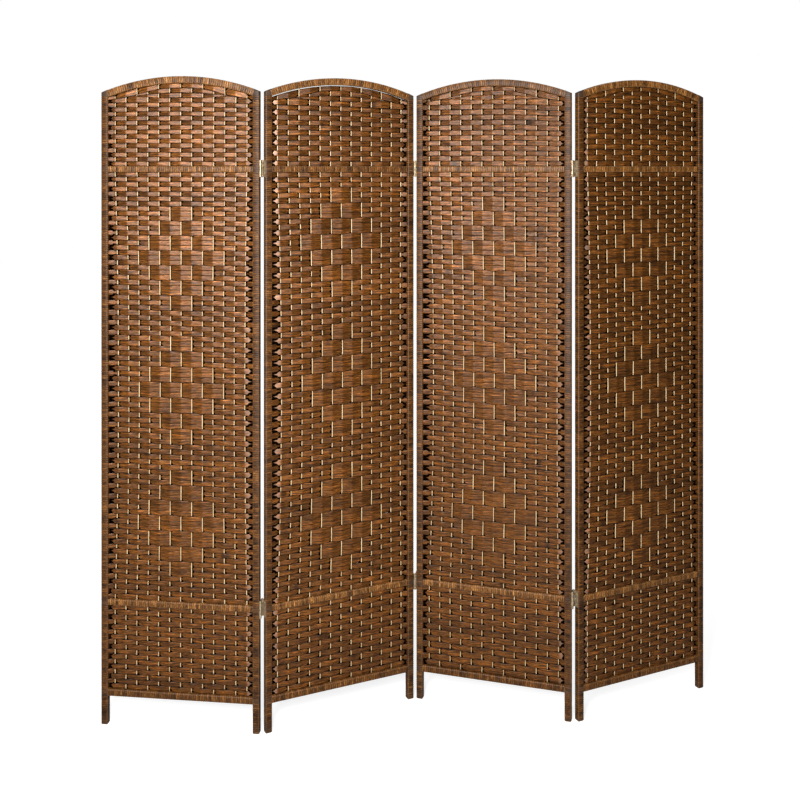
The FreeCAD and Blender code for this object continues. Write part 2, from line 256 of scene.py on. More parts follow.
def borders(panel, key, marks):
    """The lines between neighbouring rows. Each one but the first and last wavers a little."""
    lines = [np.full(len(STATIONS), mark) for mark in marks]
    for n in range(1, len(lines) - 1):
        lines[n] = lines[n] + smooth_noise(rng(panel.number, *key, n), ROW_WAVER)
    return lines


def row_shape(panel, key, shown, block, upper, lower):
    """One full ribbon row between two borders: its middle line, width, depth, painted shade in its dark places and
    painted highlight on its ends.
    """
    gen = rng(panel.number, *key)
    u = STATIONS
    v = depth_profile(shown, u, np.clip(gen.normal(1, SLACK, STAKES), *SLACK_RANGE))
    from_stakes = u[:, None] - STAKE_US[None]
    near = np.abs(from_stakes).min(axis=1)
    at_stake = np.cos((u - MIDDLE) / STAKE_PITCH * math.pi) ** 2
    fullness = NARROW + (np.where(v < 0, FULL, BEHIND) - NARROW) * at_stake ** 0.8
    corners = np.ones((len(u), 2))                # upper and lower edge
    spread = np.zeros((len(u), 2))
    if block is not None:
        low, high, place = block
        inside = (u > STAKE_US[low - 1] - BLOCK_MARGIN) & (u < STAKE_US[high - 1] + BLOCK_MARGIN)
        fullness = np.where(inside, FLUSH, fullness)
        corners[inside, 0] = 1.0 if place == 0 else 0.0
        corners[inside, 1] = 1.0 if place == BLOCK - 1 else 0.0
        spread[inside] = corners[inside] * SPREAD * at_stake[inside, None]
    # between the outermost stake and the stile the ribbon keeps its full width until just before the stile
    side = np.minimum(u, WIDTH - u)
    inwards = np.clip((STAKE_US[0] - side) / (STAKE_US[0] - STILE_SHADE_START), 0, 1)
    fullness = np.where(inwards > 0, NARROW + (FULL - NARROW) * np.clip(1 - inwards + END_FULL, 0, 1), fullness)
    # painted shade: dark corners beside the stakes and the stiles, and a dark line along each stake
    beside = from_stakes[np.arange(len(u)), np.abs(from_stakes).argmin(axis=1)]
    shade_weight = np.where(beside * LIGHT_AND_SHADE_SIDE[panel.number] > 0, 1.0, WEAK_SHADE_SIDE)
    stake_shade = np.clip(SHADE_CORNER_DEPTH * (1 - near / SHADE_CORNER_REACH), 0, SHADE_CORNER_LIMIT) * shade_weight
    deep = np.maximum(stake_shade[:, None] * corners, STILE_SHADE_DEPTH * inwards[:, None] ** 0.6)
    crease_shade = np.clip(1 - (near - SHADE_CREASE_START) / SHADE_CREASE_FADE, 0, 1) * (0.3 + 0.7 * shade_weight)
    dish = DISH * (0.15 + 0.85 * corners) * (1 + 0.35 * inwards[:, None])
    # a painted highlight makes a ribbon's end paler where it rises in front of the outermost stake, and a painted
    # shade makes it darker where it passes behind that stake
    towards = (u - MIDDLE) * LIGHT_AND_SHADE_SIDE[panel.number] > 0
    outer = [v[np.abs(u - STAKE_US[end]).argmin()] for end in (0, -1)]
    passes = np.where(u < MIDDLE, outer[0], outer[1]) < 0
    end_highlight = inwards ** 0.5 * np.where(passes, np.where(towards, LIT_SIDE, DIM_SIDE), UNDER_STAKE)
    middle, pitch = (upper + lower) / 2, upper - lower
    z = middle + pitch * (spread[:, 0] - spread[:, 1]) / 2 + gen.normal(0, ROW_SHIFT)
    return dict(u=u + panel.bow(u, middle), v=v, z=z, width=pitch * (fullness + spread.sum(axis=1)),
                deep=deep, crease_shade=crease_shade, dish=dish, end_highlight=end_highlight, rim=0.80 + 0.20 * corners,
                tone=gen.uniform(), seed=gen.uniform(0, 10), gen=gen)


def trimmed(row, low=None, high=None):
    """Keeps a row's edges inside its bay."""
    top, bottom = row["z"] + row["width"] / 2, row["z"] - row["width"] / 2
    top = top if high is None else np.minimum(top, high)
    bottom = bottom if low is None else np.maximum(bottom, low)
    return dict(row, z=(top + bottom) / 2, width=top - bottom)


def short_row(row, reach):
    """Only the part of a row in the middle of the arch."""
    keep = np.abs(STATIONS - MIDDLE) < reach
    return {k: (a[keep] if isinstance(a, np.ndarray) else a) for k, a in row.items()}


def ribbon_mesh(name, panel, rows):
    """All ribbons of one piece. Each is a closed flat band of twisted strands."""
    side = np.linspace(-1, 1, 2 * STRANDS + 1)
    front = np.stack([side, -np.where(np.arange(len(side)) % 2 == 1, PEAK, VALLEY)], -1)
    back = np.stack([side[::-1], np.where(np.arange(len(side)) % 2 == 1, PEAK, VALLEY)], -1)
    front[0, 1] = front[-1, 1] = 0
    ring = np.concatenate([front, back[1:-1]])
    valley = 1 - (np.abs(ring[:, 1]) / PEAK)
    strand = np.clip(np.floor((ring[:, 0] + 1) / 2 * STRANDS), 0, STRANDS - 1)
    points, quads, caps = [], [], []
    values = {key: [] for key in ("along", "across", "valley", "tone", "seed", "side", "deep", "crease_shade", "end_highlight")}
    start = 0
    for row in rows:
        u, v, z, width = (row[k] for k in ("u", "v", "z", "width"))
        slope = np.gradient(v, u)
        norm = np.sqrt(1 + slope ** 2)
        ring_v = ring[:, 1][None]
        wobble = row["gen"].normal(0, ROUGHNESS, (len(u), len(ring)))
        upper = ring[:, 0][None] > 0
        curl = np.where(upper, row["dish"][:, :1], row["dish"][:, 1:]) * np.abs(ring[:, 0])[None] ** DISH_POWER
        uu = u[:, None] - (slope / norm)[:, None] * ring_v
        vv = v[:, None] * (1 - curl) + (1 / norm)[:, None] * ring_v + wobble
        zz = z[:, None] + ring[:, 0][None] * width[:, None] / 2
        points.append(panel.world(uu, vv, zz).reshape(-1, 3))
        q, a, b = tube_faces(len(u), len(ring), start)
        quads.append(q)
        caps += [a, b]
        shape = (len(u), len(ring))
        # a face is hidden where the ribbon passes on the other side of the stakes; the painted shade of the corners
        # and creases goes only on such faces
        hidden = np.where(ring_v < 0, v[:, None] > 0, np.where(ring_v > 0, v[:, None] < 0, True))
        edge = np.where(upper, row["deep"][:, :1], row["deep"][:, 1:])
        values["along"].append(np.broadcast_to(u[:, None] + row["seed"], shape))
        values["across"].append(np.broadcast_to(ring[:, 0][None] * width[:, None] / 2, shape))
        values["valley"].append(np.broadcast_to(valley[None], shape))
        values["tone"].append(np.full(shape, row["tone"]))
        values["seed"].append(np.broadcast_to(strand[None] + row["seed"] * 31, shape))
        values["side"].append(np.abs(ring[:, 0])[None] * np.where(upper, row["rim"][:, :1], row["rim"][:, 1:]))
        values["deep"].append(edge * hidden)
        values["crease_shade"].append(row["crease_shade"][:, None] * hidden)
        values["end_highlight"].append(np.broadcast_to(row["end_highlight"][:, None], shape))
        start += len(u) * len(ring)
    values = {k: np.concatenate([a.ravel() for a in v]) for k, v in values.items()}
    return make_mesh(name, np.concatenate(points), np.concatenate(quads), caps, values)


# each panel's rows: bottom bay, middle bay, first row of the first diamond and flat rows of the top bay with
# their height; how much closer the rows are packed near the top of each bay, how far the top bay's rows droop to
# the right, the slit left under the arch, and how far the middle bay's rows stray from even heights
WEAVES = {
    1: dict(bottom=17, bottom_first=0, middle=85, diamond=8, flat=14, flat_top=1.728,
            tighten=(0.0, 0.03, 0.01), droop=0.005, slit=-0.0001, drift=(-0.0040, 0.0040)),
    2: dict(bottom=15, bottom_first=0, middle=80, diamond=4, flat=12, flat_top=1.721,
            tighten=(0.0, 0.035, 0.03), droop=0.004, slit=0.0020, drift=(-0.0125, 0.0055)),
    3: dict(bottom=14, bottom_first=1, middle=82, diamond=6, flat=12, flat_top=1.730,
            tighten=(0.10, 0.015, 0.0), droop=0.009, slit=-0.0001, drift=(0, 0.0045)),
    4: dict(bottom=16, bottom_first=1, middle=84, diamond=8, flat=12, flat_top=1.731,
            tighten=(0.0, -0.01, 0.07), droop=0.006, slit=-0.0001, drift=(0.0110, 0.0030)),
}
EDGE_GAP = -0.0002        # between the outermost ribbon and a rail
REACH = 0.135             # half length of the short rows under the arch
REACH_FADE = 0.075        # length over which they narrow to nothing
STAKE_SINK = (0.006, 0.004)    # how far a stake goes into the bottom rail and into the top rail
STAKE_STEP = 0.011
STAKE_UNEVEN = 0.035      # share by which its radius differs
STAKE_WANDER = 0.0005     # and how far it wanders


def bay(panel, name, count, tighten, z0, z1, plans, drift=(0, 0)):
    """The rows of a straight bay, from the top down. Drift is how far they stray from even heights."""
    key = (len(name),)
    high, low = z1 - EDGE_GAP, z0 + EDGE_GAP
    share = eased(count, tighten)
    stray = drift[0] * np.sin(math.pi * share) + drift[1] * np.sin(2 * math.pi * share)
    lines = borders(panel, (60, *key), high - share * (high - low) + stray)
    rows = [row_shape(panel, (*key, n), shown, block, lines[n], lines[n + 1])
            for n, (shown, block) in enumerate(plans)]
    rows[0] = trimmed(rows[0], high=high)
    rows[-1] = trimmed(rows[-1], low=low)
    return rows


def top_bay(panel, plan, z0):
    """The arched bay: flat rows below, then four layers under the arch, two of them short."""
    flat, u = plan["flat"], STATIONS
    low = z0 + EDGE_GAP
    marks = plan["flat_top"] - eased(flat, plan["tighten"][2]) * (plan["flat_top"] - low)
    across = np.clip((u - MIDDLE) / (STAKE_US[-1] - MIDDLE), 0, 1) ** 1.5
    lines = borders(panel, (61,), marks)
    lines = [line - plan["droop"] * across * (mark - z0) / (marks[0] - z0) for line, mark in zip(lines, marks)]
    under = arch_z(u, ARCH_INNER) - plan["slit"]
    room = under - lines[0]
    share = 0.25 * np.clip((REACH - np.abs(u - MIDDLE)) / REACH_FADE, 0, 1) ** 0.7
    rows, upper = [], under
    for n, part in enumerate((0.5 - share, share, share, 0.5 - share)):
        lower = upper - part * room
        row = row_shape(panel, (9, n), tabby(1 - n % 2), None, upper, lower)
        if n == 0:
            row = trimmed(row, high=under)
        rows.append(short_row(row, REACH) if n in (1, 2) else row)
        upper = lower
    for n in range(flat):
        rows.append(row_shape(panel, (8, n), tabby((flat - 1 - n) % 2), None, lines[n], lines[n + 1]))
    rows[-1] = trimmed(rows[-1], low=low)
    return rows


def round_stakes(panel):
    """The thin upright sticks, drawn inwards with the weave in the middle bay."""
    ring = np.linspace(0, 2 * math.pi, 10, endpoint=False)
    points, quads, caps = [], [], []
    start = 0
    for n, u in enumerate(STAKE_US):
        gen = rng(panel.number, 70, n)
        z = np.arange(RAILS["bottom"][0] + STAKE_SINK[0], arch_z(u, ARCH_INNER) + STAKE_SINK[1], STAKE_STEP)
        radius = STAKE_SHOW * (1 + gen.normal(0, STAKE_UNEVEN, len(z)))
        wander = np.convolve(gen.normal(0, STAKE_WANDER, len(z)), np.ones(9) / 9, "same")
        centre = u + panel.bow(u, z) + wander
        uu = centre[:, None] + radius[:, None] * np.cos(ring)
        vv = radius[:, None] * np.sin(ring)
        points.append(panel.world(uu, vv, np.broadcast_to(z[:, None], uu.shape)).reshape(-1, 3))
        q, first, last = tube_faces(len(z), len(ring), start)
        quads.append(q)
        caps += [first, last]
        start += uu.size
    name = f"panel_{panel.number}_round_stakes"
    return make_mesh(name, np.concatenate(points), np.concatenate(quads), caps, {})


# ---- wound fibre on the frame -------------------------------------------------------------------------------------
CORNER_ANGLES = (0, 30, 60, 90)           # points round each rounded edge, in degrees
TURN_PLACES = (0, 0.14, 0.5, 0.86)        # stations along one turn, as shares of the turn
TURN_LOOKS = (0, 0.2, 0.5, 0.8)           # the same stations as the material counts them
TURN_RIDGE = (0.0, 0.75, 1.0, 0.75)       # height of the turn's ridge there
RIDGE_HEIGHT = 0.00055
RIDGE_SINK = 0.00035
TURN_UNEVEN = 0.00006
TURN_TILTS = ((0.0007, 9), (0.0005, 23))  # how far, and how often along the bar, the turns lean to either side


def wound_bar(panel, half_a, half_b, radius, length, pitch, key):
    """Fibre wound round a square bar: a ribbed sleeve with a ridge for each turn, closed at both ends."""
    gen = rng(panel.number, *key)
    turns = max(2, int(round(length / pitch)))
    corner = np.radians(CORNER_ANGLES)
    ring = []
    for sa, sb, first in ((1, 1, 0), (-1, 1, 90), (-1, -1, 180), (1, -1, 270)):
        for angle in corner:
            t = math.radians(first) + angle
            ring.append((sa * (half_a - radius) + radius * math.cos(t), sb * (half_b - radius) + radius * math.sin(t),
                         math.cos(t), math.sin(t)))
    ring = np.array(ring)
    stations = len(TURN_PLACES) * turns + 1
    whole, place = divmod(np.arange(stations), len(TURN_PLACES))
    s = (whole + np.array(TURN_PLACES)[place]) * length / turns
    ridge = np.array(TURN_RIDGE)[place]
    swell = (RIDGE_HEIGHT * ridge - RIDGE_SINK)[:, None] + gen.normal(0, TURN_UNEVEN, (stations, 1))
    tilt = np.zeros((stations, 1))
    for n, (amount, often), half in zip((0, 1), TURN_TILTS, (half_a, half_b)):
        tilt = tilt + amount * np.sin(s * often + gen.uniform(0, 6))[:, None] * ring[:, n][None] / half
    a = ring[:, 0][None] + ring[:, 2][None] * swell
    b = ring[:, 1][None] + ring[:, 3][None] * swell
    pos = np.clip(s[:, None] + tilt, 0, length)
    pos[0], pos[-1] = 0, length
    turn = np.broadcast_to((whole + np.array(TURN_LOOKS)[place])[:, None], a.shape)
    # a painted highlight along the bar's rounded edges
    edge = np.abs(ring[:, 2] * ring[:, 3]) > 0.1
    edge_highlight = np.broadcast_to(edge.astype(float)[None], a.shape)
    around = np.broadcast_to(np.arange(len(ring))[None] / len(ring), a.shape)
    valley = np.broadcast_to((1.0 - ridge)[:, None], a.shape)
    return dict(a=a, b=b, pos=pos, turn=turn, around=around, valley=valley, edge_highlight=edge_highlight, seed=gen.uniform(0, 50))


def finish_wrap(name, parts):
    """Joins wound sleeves that are already placed into one piece."""
    points, quads, caps = [], [], []
    values = {"turn": [], "around": [], "valley": [], "seed": [], "dark": [], "pale": [], "edge_highlight": []}
    start = 0
    for world, part, dark, pale in parts:
        rows, ring = part["a"].shape
        points.append(world.reshape(-1, 3))
        q, first, last = tube_faces(rows, ring, start)
        quads.append(q)
        caps += [first, last]
        for key in ("turn", "around", "valley", "edge_highlight"):
            values[key].append(part[key].ravel())
        values["seed"].append(np.full(rows * ring, part["seed"]))
        values["dark"].append(np.broadcast_to(dark, part["a"].shape).ravel())
        values["pale"].append(np.full(rows * ring, pale))
        start += rows * ring
    values = {k: np.concatenate(v) for k, v in values.items()}
    return make_mesh(name, np.concatenate(points), np.concatenate(quads), caps, values)


STILE_TURN = 0.0060       # width of one turn
RAIL_TURN = 0.0062
EDGE_RADIUS = 0.0032
ARCH_EDGE_RADIUS = 0.0030
# how pale each wrap is, on panels 1 to 4: partly the fibre's own tone and partly painted light and shade, by how each
# bar faces the light
WRAP_TONE_AND_LIGHT = {
    "arch": (1.0, 0.92, 0.38, 1.25),
    "upper": (1.05, 0.40, 0.97, 1.20),
    "lower": (1.0, 1.0, 1.0, 1.0),
    "bottom": (0.32, 0.32, 0.06, 0.36),
}
FOOT_SHOW = 0.002         # bare wood under each stile's wrap
TOP_CAP = (1.742, 0.006)  # where the darker top end of a stile starts, and how soon it is fully dark
FOOT_DARK = 0.03
END_INSET = 0.90          # share to which a sleeve's last ring is drawn in
RAIL_OVERLAP = 0.0005     # how far a rail's sleeve runs into the stile's
ARCH_OVERLAP = 0.0035
ARCH_END = 0.006          # length of the darker end of the arch's sleeve


def stile_wrap(panel, side):
    """The wound stile: side 0 is the left one, 1 the right one."""
    u_mid = HALF_DEPTH if side == 0 else WIDTH - HALF_DEPTH
    length = HEIGHT - FOOT_SHOW
    part = wound_bar(panel, HALF_DEPTH, HALF_DEPTH, EDGE_RADIUS, length, STILE_TURN, (20, side))
    u = u_mid + part["a"]
    v = part["b"]
    z = FOOT_SHOW + part["pos"]
    roof = arch_z(np.clip(u, 0.0001, WIDTH - 0.0001), ARCH_RADIUS)
    z = np.minimum(z, roof)
    last = (z >= roof - 1e-6)
    u = u_mid + (u - u_mid) * np.where(last, END_INSET, 1)
    v = v * np.where(last, END_INSET, 1)
    dark = np.clip((z - TOP_CAP[0]) / TOP_CAP[1], 0, 1)
    for centre, half in RAILS.values():
        dark = np.maximum(dark, 0.45 * np.clip(1.25 - np.abs(z - centre) / (half * 1.2), 0, 1))
    dark = np.maximum(dark, 0.5 * np.clip(1 - z / FOOT_DARK, 0, 1))
    return panel.world(u, v, z), part, dark, 0.0


def rail_wrap(panel, name):
    z_mid, half = RAILS[name]
    length = WIDTH - 2 * FRAME_DEPTH + 2 * RAIL_OVERLAP
    part = wound_bar(panel, half, half, EDGE_RADIUS, length, RAIL_TURN, (30, len(name)))
    u = FRAME_DEPTH - RAIL_OVERLAP + part["pos"]
    return panel.world(u, part["a"], z_mid + part["b"]), part, 0.0, WRAP_TONE_AND_LIGHT[name][panel.number - 1]


def arch_wrap(panel):
    radius_mid = ARCH_RADIUS - HALF_DEPTH
    angle = math.asin((MIDDLE - FRAME_DEPTH + ARCH_OVERLAP) / radius_mid)
    length = 2 * angle * radius_mid
    part = wound_bar(panel, HALF_DEPTH, HALF_DEPTH, ARCH_EDGE_RADIUS, length, RAIL_TURN, (40, 1))
    t = part["pos"] / radius_mid - angle
    r = radius_mid + part["b"]
    u = MIDDLE + r * np.sin(t)
    z = ARCH_CENTRE_Z + r * np.cos(t)
    end = np.clip(1 - np.minimum(part["pos"], length - part["pos"]) / ARCH_END, 0, 1)
    return panel.world(u, part["a"], z), part, 0.5 * end, WRAP_TONE_AND_LIGHT["arch"][panel.number - 1]


# ---- materials ---------------------------------------------------------------------------------------------------
class Nodes:
    """Short calls for building a node material."""

    def __init__(self, name):
        self.material = bpy.data.materials.new(name)
        self.material.use_nodes = True
        self.tree = self.material.node_tree
        self.tree.nodes.clear()
        self.output = self.tree.nodes.new("ShaderNodeOutputMaterial")
        self.shader = self.tree.nodes.new("ShaderNodeBsdfPrincipled")
        self.link(self.shader.outputs[0], self.output.inputs[0])

    def link(self, a, b):
        self.tree.links.new(a, b)

    def put(self, socket, value):
        if isinstance(value, bpy.types.NodeSocket):
            self.link(value, socket)
        elif isinstance(value, (tuple, list)) and len(value) == 3 and socket.type == "RGBA":
            socket.default_value = (*value, 1)
        else:
            socket.default_value = value

    def attribute(self, name):
        node = self.tree.nodes.new("ShaderNodeAttribute")
        node.attribute_name = name
        return node.outputs["Fac"]

    def math(self, kind, a, b=None, c=None, clamp=False):
        node = self.tree.nodes.new("ShaderNodeMath")
        node.operation = kind
        node.use_clamp = clamp
        for n, value in enumerate((a, b, c)):
            if value is not None:
                self.put(node.inputs[n], value)
        return node.outputs[0]

    def vector(self, x, y, z):
        node = self.tree.nodes.new("ShaderNodeCombineXYZ")
        for n, value in enumerate((x, y, z)):
            self.put(node.inputs[n], value)
        return node.outputs[0]

    def noise(self, vector, scale=1.0, detail=2.0, rough=0.5):
        node = self.tree.nodes.new("ShaderNodeTexNoise")
        self.put(node.inputs["Vector"], vector)
        self.put(node.inputs["Scale"], scale)
        self.put(node.inputs["Detail"], detail)
        self.put(node.inputs["Roughness"], rough)
        return node.outputs["Fac"]

    def random(self, vector):
        node = self.tree.nodes.new("ShaderNodeTexWhiteNoise")
        node.noise_dimensions = "3D"
        self.put(node.inputs["Vector"], vector)
        return node.outputs["Value"]

    def ramp(self, fac, stops):
        node = self.tree.nodes.new("ShaderNodeValToRGB")
        elements = node.color_ramp.elements
        while len(elements) < len(stops):
            elements.new(0.5)
        for element, (position, colour) in zip(elements, stops):
            element.position = position
            element.color = (*colour, 1)
        self.put(node.inputs[0], fac)
        return node.outputs[0]

    def mix(self, fac, a, b, kind="MIX"):
        node = self.tree.nodes.new("ShaderNodeMix")
        node.data_type = "RGBA"
        node.blend_type = kind
        self.put(node.inputs["Factor"], fac)
        colours = [s for s in node.inputs if s.type == "RGBA"]
        self.put(colours[0], a)
        self.put(colours[1], b)
        return [s for s in node.outputs if s.type == "RGBA"][0]

    def bump(self, height, distance, strength=1.0):
        node = self.tree.nodes.new("ShaderNodeBump")
        self.put(node.inputs["Strength"], strength)
        self.put(node.inputs["Distance"], distance)
        self.put(node.inputs["Height"], height)
        self.link(node.outputs[0], self.shader.inputs["Normal"])

    def set(self, **sockets):
        for key, value in sockets.items():
            self.put(self.shader.inputs[key.replace("_", " ")], value)
        return self.material


# colours of the fibre: in a shaded place, in a hole where no light reaches, and under the painted highlight on a
# ribbon's end
FIBRE_SHADE = (0.012, 0.005, 0.002)
FIBRE_BLACK = (0.0022, 0.0010, 0.0005)
FIBRE_END_HIGHLIGHT = (0.46, 0.30, 0.22)
# colours of the wrap: painted shade in the grooves, painted highlight on the rounded edges, and grey of the ends and
# crossings
WRAP_SHADE = (0.008, 0.0035, 0.0015)
WRAP_EDGE_HIGHLIGHT = (0.34, 0.19, 0.095)
WRAP_GREY = (0.055, 0.036, 0.026)


def weave_material():
    n = Nodes("fibre_weave_look")
    along, across = n.attribute("along"), n.attribute("across")
    valley, tone, seed = n.attribute("valley"), n.attribute("tone"), n.attribute("seed")
    # fine fibres and broader streaks run along each strand
    fibre = n.noise(n.vector(n.math("MULTIPLY", along, 70), n.math("MULTIPLY", across, 2600), seed), 1.0, 3.0, 0.6)
    streak = n.noise(n.vector(n.math("MULTIPLY", along, 22), n.math("MULTIPLY", across, 620), seed), 1.0, 2.0, 0.5)
    colour = n.ramp(fibre, [(0.32, (0.021, 0.0062, 0.0007)), (0.49, (0.111, 0.0370, 0.0044)),
                            (0.68, (0.296, 0.117, 0.020))])
    warm = n.ramp(streak, [(0.34, (0.32, 0.27, 0.23)), (0.46, (0.82, 0.80, 0.78)), (0.54, (1.06, 1.04, 1.0)),
                           (0.62, (1.65, 1.46, 1.2)), (0.70, (2.7, 2.3, 1.7))])
    colour = n.mix(1.0, colour, warm, "MULTIPLY")
    # brightness: by ribbon, by strand and in blotches; and a painted highlight at the ends beside the stiles, with
    # painted shade where an end passes behind a stake
    level = n.math("MULTIPLY_ADD", tone, 0.34, 0.80)
    strand = n.random(n.vector(n.math("FLOOR", seed), 3.0, 1.0))
    level = n.math("MULTIPLY", level, n.math("MULTIPLY_ADD", strand, 0.44, 0.78))
    blotch = n.noise(n.vector(n.math("MULTIPLY", along, 26), n.math("MULTIPLY", tone, 37), 0.5), 1.0, 1.0, 0.5)
    level = n.math("MULTIPLY", level, n.ramp(blotch, [(0.20, (0.38, 0.38, 0.38)), (0.32, (1, 1, 1))]))
    level = n.math("MULTIPLY", level, n.math("MULTIPLY_ADD", n.attribute("end_highlight"), 0.75, 1.0))
    colour = n.mix(1.0, colour, n.vector(level, level, level), "MULTIPLY")
    colour = n.mix(n.math("MULTIPLY", n.attribute("end_highlight"), 0.55, clamp=True), colour, FIBRE_END_HIGHLIGHT)
    # shade between the strands and along the ribbon's edges
    rim = n.math("MULTIPLY_ADD", n.attribute("side"), 4.5, -3.22, clamp=True)
    groove = n.math("MULTIPLY", n.math("POWER", valley, 1.6), 0.45)
    colour = n.mix(n.math("MAXIMUM", groove, n.math("MULTIPLY", rim, 0.93)), colour, FIBRE_SHADE)
    # no light reaches the corners where a ribbon dives behind a stake or into a stile
    reach = n.math("SUBTRACT", n.math("ADD", n.attribute("side"), n.attribute("deep")), 1.0)
    corner = n.math("MULTIPLY_ADD", reach, 5.0, 0.55, clamp=True)
    hole_shade = n.math("MAXIMUM", corner, n.math("MULTIPLY", n.attribute("crease_shade"), 0.9))
    colour = n.mix(hole_shade, colour, FIBRE_BLACK)
    # a twist of the paper shows as slanting ridges on each strand
    twist = n.math("SINE", n.math("MULTIPLY_ADD", along, 2600, n.math("MULTIPLY", across, 1500)))
    height = n.math("MULTIPLY_ADD", twist, 0.12, n.math("MULTIPLY", fibre, 0.9))
    n.bump(height, 0.0004, 0.25)
    gloss = n.math("MULTIPLY", n.math("MULTIPLY_ADD", hole_shade, -1.0, 1.0), n.math("MULTIPLY_ADD", fibre, 1.2, -0.25))
    return n.set(Base_Color=colour, Roughness=0.48, Specular_IOR_Level=gloss, Metallic=0.23)


def wrap_material():
    n = Nodes("fibre_wrap_look")
    turn, around, valley = n.attribute("turn"), n.attribute("around"), n.attribute("valley")
    seed, dark, pale = n.attribute("seed"), n.attribute("dark"), n.attribute("pale")
    # fine fibres run along each turn, and broader bands over several turns
    fibre = n.noise(n.vector(n.math("MULTIPLY", turn, 3.1), n.math("MULTIPLY", around, 16), seed), 1.0, 3.0, 0.6)
    band = n.noise(n.vector(n.math("MULTIPLY", turn, 0.33), n.math("MULTIPLY", around, 2.2), seed), 1.0, 3.0, 0.65)
    colour = n.ramp(fibre, [(0.30, (0.034, 0.0100, 0.0017)), (0.49, (0.124, 0.0440, 0.0078)),
                            (0.70, (0.270, 0.120, 0.030))])
    tint = n.ramp(band, [(0.30, (0.34, 0.31, 0.30)), (0.45, (0.85, 0.83, 0.80)), (0.60, (1.1, 1.08, 1.02)),
                         (0.72, (1.5, 1.42, 1.30))])
    colour = n.mix(1.0, colour, tint, "MULTIPLY")
    # brightness: by turn, and by bar, where a bar's paleness is partly its own tone and partly painted light
    each = n.random(n.vector(n.math("FLOOR", turn), seed, 2.0))
    level = n.math("MULTIPLY_ADD", each, 0.95, 0.48)
    level = n.math("MULTIPLY", level, n.math("MULTIPLY_ADD", pale, 0.90, 0.80))
    colour = n.mix(1.0, colour, n.vector(level, level, level), "MULTIPLY")
    # a paler bar also takes a cooler tint, a painted sheen
    colour = n.mix(pale, colour, n.mix(1.0, colour, (1.0, 1.12, 1.45), "MULTIPLY"))
    # painted highlight along the rounded edges, painted shade in the grooves between the turns, and greyed ends and
    # crossings
    colour = n.mix(n.math("MULTIPLY", n.attribute("edge_highlight"), 0.20), colour, WRAP_EDGE_HIGHLIGHT)
    colour = n.mix(n.math("MULTIPLY", valley, 0.85), colour, WRAP_SHADE)
    colour = n.mix(n.math("MULTIPLY", dark, 0.8), colour, WRAP_GREY)
    n.bump(n.math("ADD", fibre, n.math("MULTIPLY", each, 0.3)), 0.0004, 0.25)
    return n.set(Base_Color=colour, Roughness=0.46, Specular_IOR_Level=0.22)


def wood_material(name, dark, light, scale, rough=0.55):
    n = Nodes(name)
    node = n.tree.nodes.new("ShaderNodeTexCoord")
    mapping = n.tree.nodes.new("ShaderNodeMapping")
    n.link(node.outputs["Object"], mapping.inputs["Vector"])
    mapping.inputs["Scale"].default_value = (scale, scale, scale / 22)
    grain = n.noise(mapping.outputs[0], 1.0, 4.0, 0.62)
    patch = n.noise(node.outputs["Object"], 9.0, 2.0, 0.5)
    colour = n.ramp(grain, [(0.32, dark), (0.66, light)])
    shade = n.ramp(patch, [(0.3, (0.82, 0.80, 0.76)), (0.7, (1.08, 1.07, 1.05))])
    colour = n.mix(1.0, colour, shade, "MULTIPLY")
    n.bump(grain, 0.0003, 0.4)
    return n.set(Base_Color=colour, Roughness=rough)


def metal_material(name, clean, tarnish, rough, amount):
    n = Nodes(name)
    node = n.tree.nodes.new("ShaderNodeTexCoord")
    stain = n.noise(node.outputs["Object"], 160.0, 4.0, 0.6)
    fine = n.noise(node.outputs["Object"], 900.0, 2.0, 0.5)
    colour = n.ramp(stain, [(amount - 0.12, tarnish), (amount + 0.14, clean)])
    roughness = n.math("MULTIPLY_ADD", stain, -0.25, rough + 0.15)
    n.bump(fine, 0.0002, 0.25)
    return n.set(Base_Color=colour, Roughness=roughness, Metallic=0.6)


def floor_material():
    """A grey floor that lights the screen like one, and glows pale in the camera's own rays."""
    n = Nodes("studio_floor")
    n.set(Base_Color=(0.45, 0.45, 0.45), Roughness=0.9, Specular_IOR_Level=0.1)
    glow = n.tree.nodes.new("ShaderNodeEmission")
    add = n.tree.nodes.new("ShaderNodeAddShader")
    path = n.tree.nodes.new("ShaderNodeLightPath")
    place = n.tree.nodes.new("ShaderNodeTexCoord")
    split = n.tree.nodes.new("ShaderNodeSeparateXYZ")
    n.link(place.outputs["Object"], split.inputs[0])
    x, y = (n.math("POWER", split.outputs[axis], 2.0) for axis in (0, 1))
    far = n.math("SQRT", n.math("ADD", x, y))
    rise = n.math("MULTIPLY_ADD", far, 0.10, 0.78, clamp=True)
    n.link(n.math("MULTIPLY", path.outputs["Is Camera Ray"], rise), glow.inputs["Strength"])
    n.link(n.shader.outputs[0], add.inputs[0])
    n.link(glow.outputs[0], add.inputs[1])
    n.link(add.outputs[0], n.output.inputs[0])
    return n.material


# ---- build -------------------------------------------------------------------------------------------------------
WEAVE = weave_material()
WRAP = wrap_material()
LOOKS = {
    "frame_wood": wood_material("frame_wood_look", (0.30, 0.17, 0.07), (0.55, 0.36, 0.18), 260),
    "stake_wood": wood_material("stake_wood_look", (0.47, 0.32, 0.165), (0.68, 0.52, 0.31), 420, 0.45),
    "hinge_brass": metal_material("hinge_metal_look", (0.50, 0.40, 0.27), (0.20, 0.14, 0.075), 0.44, 0.46),
    "screw_brass": metal_material("screw_metal_look", (0.74, 0.55, 0.25), (0.30, 0.20, 0.08), 0.34, 0.38),
    "fibre_wrap": WRAP,
    "fibre_weave": WEAVE,
}


def piece(obj, panel, node, material):
    """Gives a mesh its material and the body it rides on, and hides the CAD node it stands for."""
    obj.data.materials.append(material)
    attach(obj, panel.body)
    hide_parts(node)


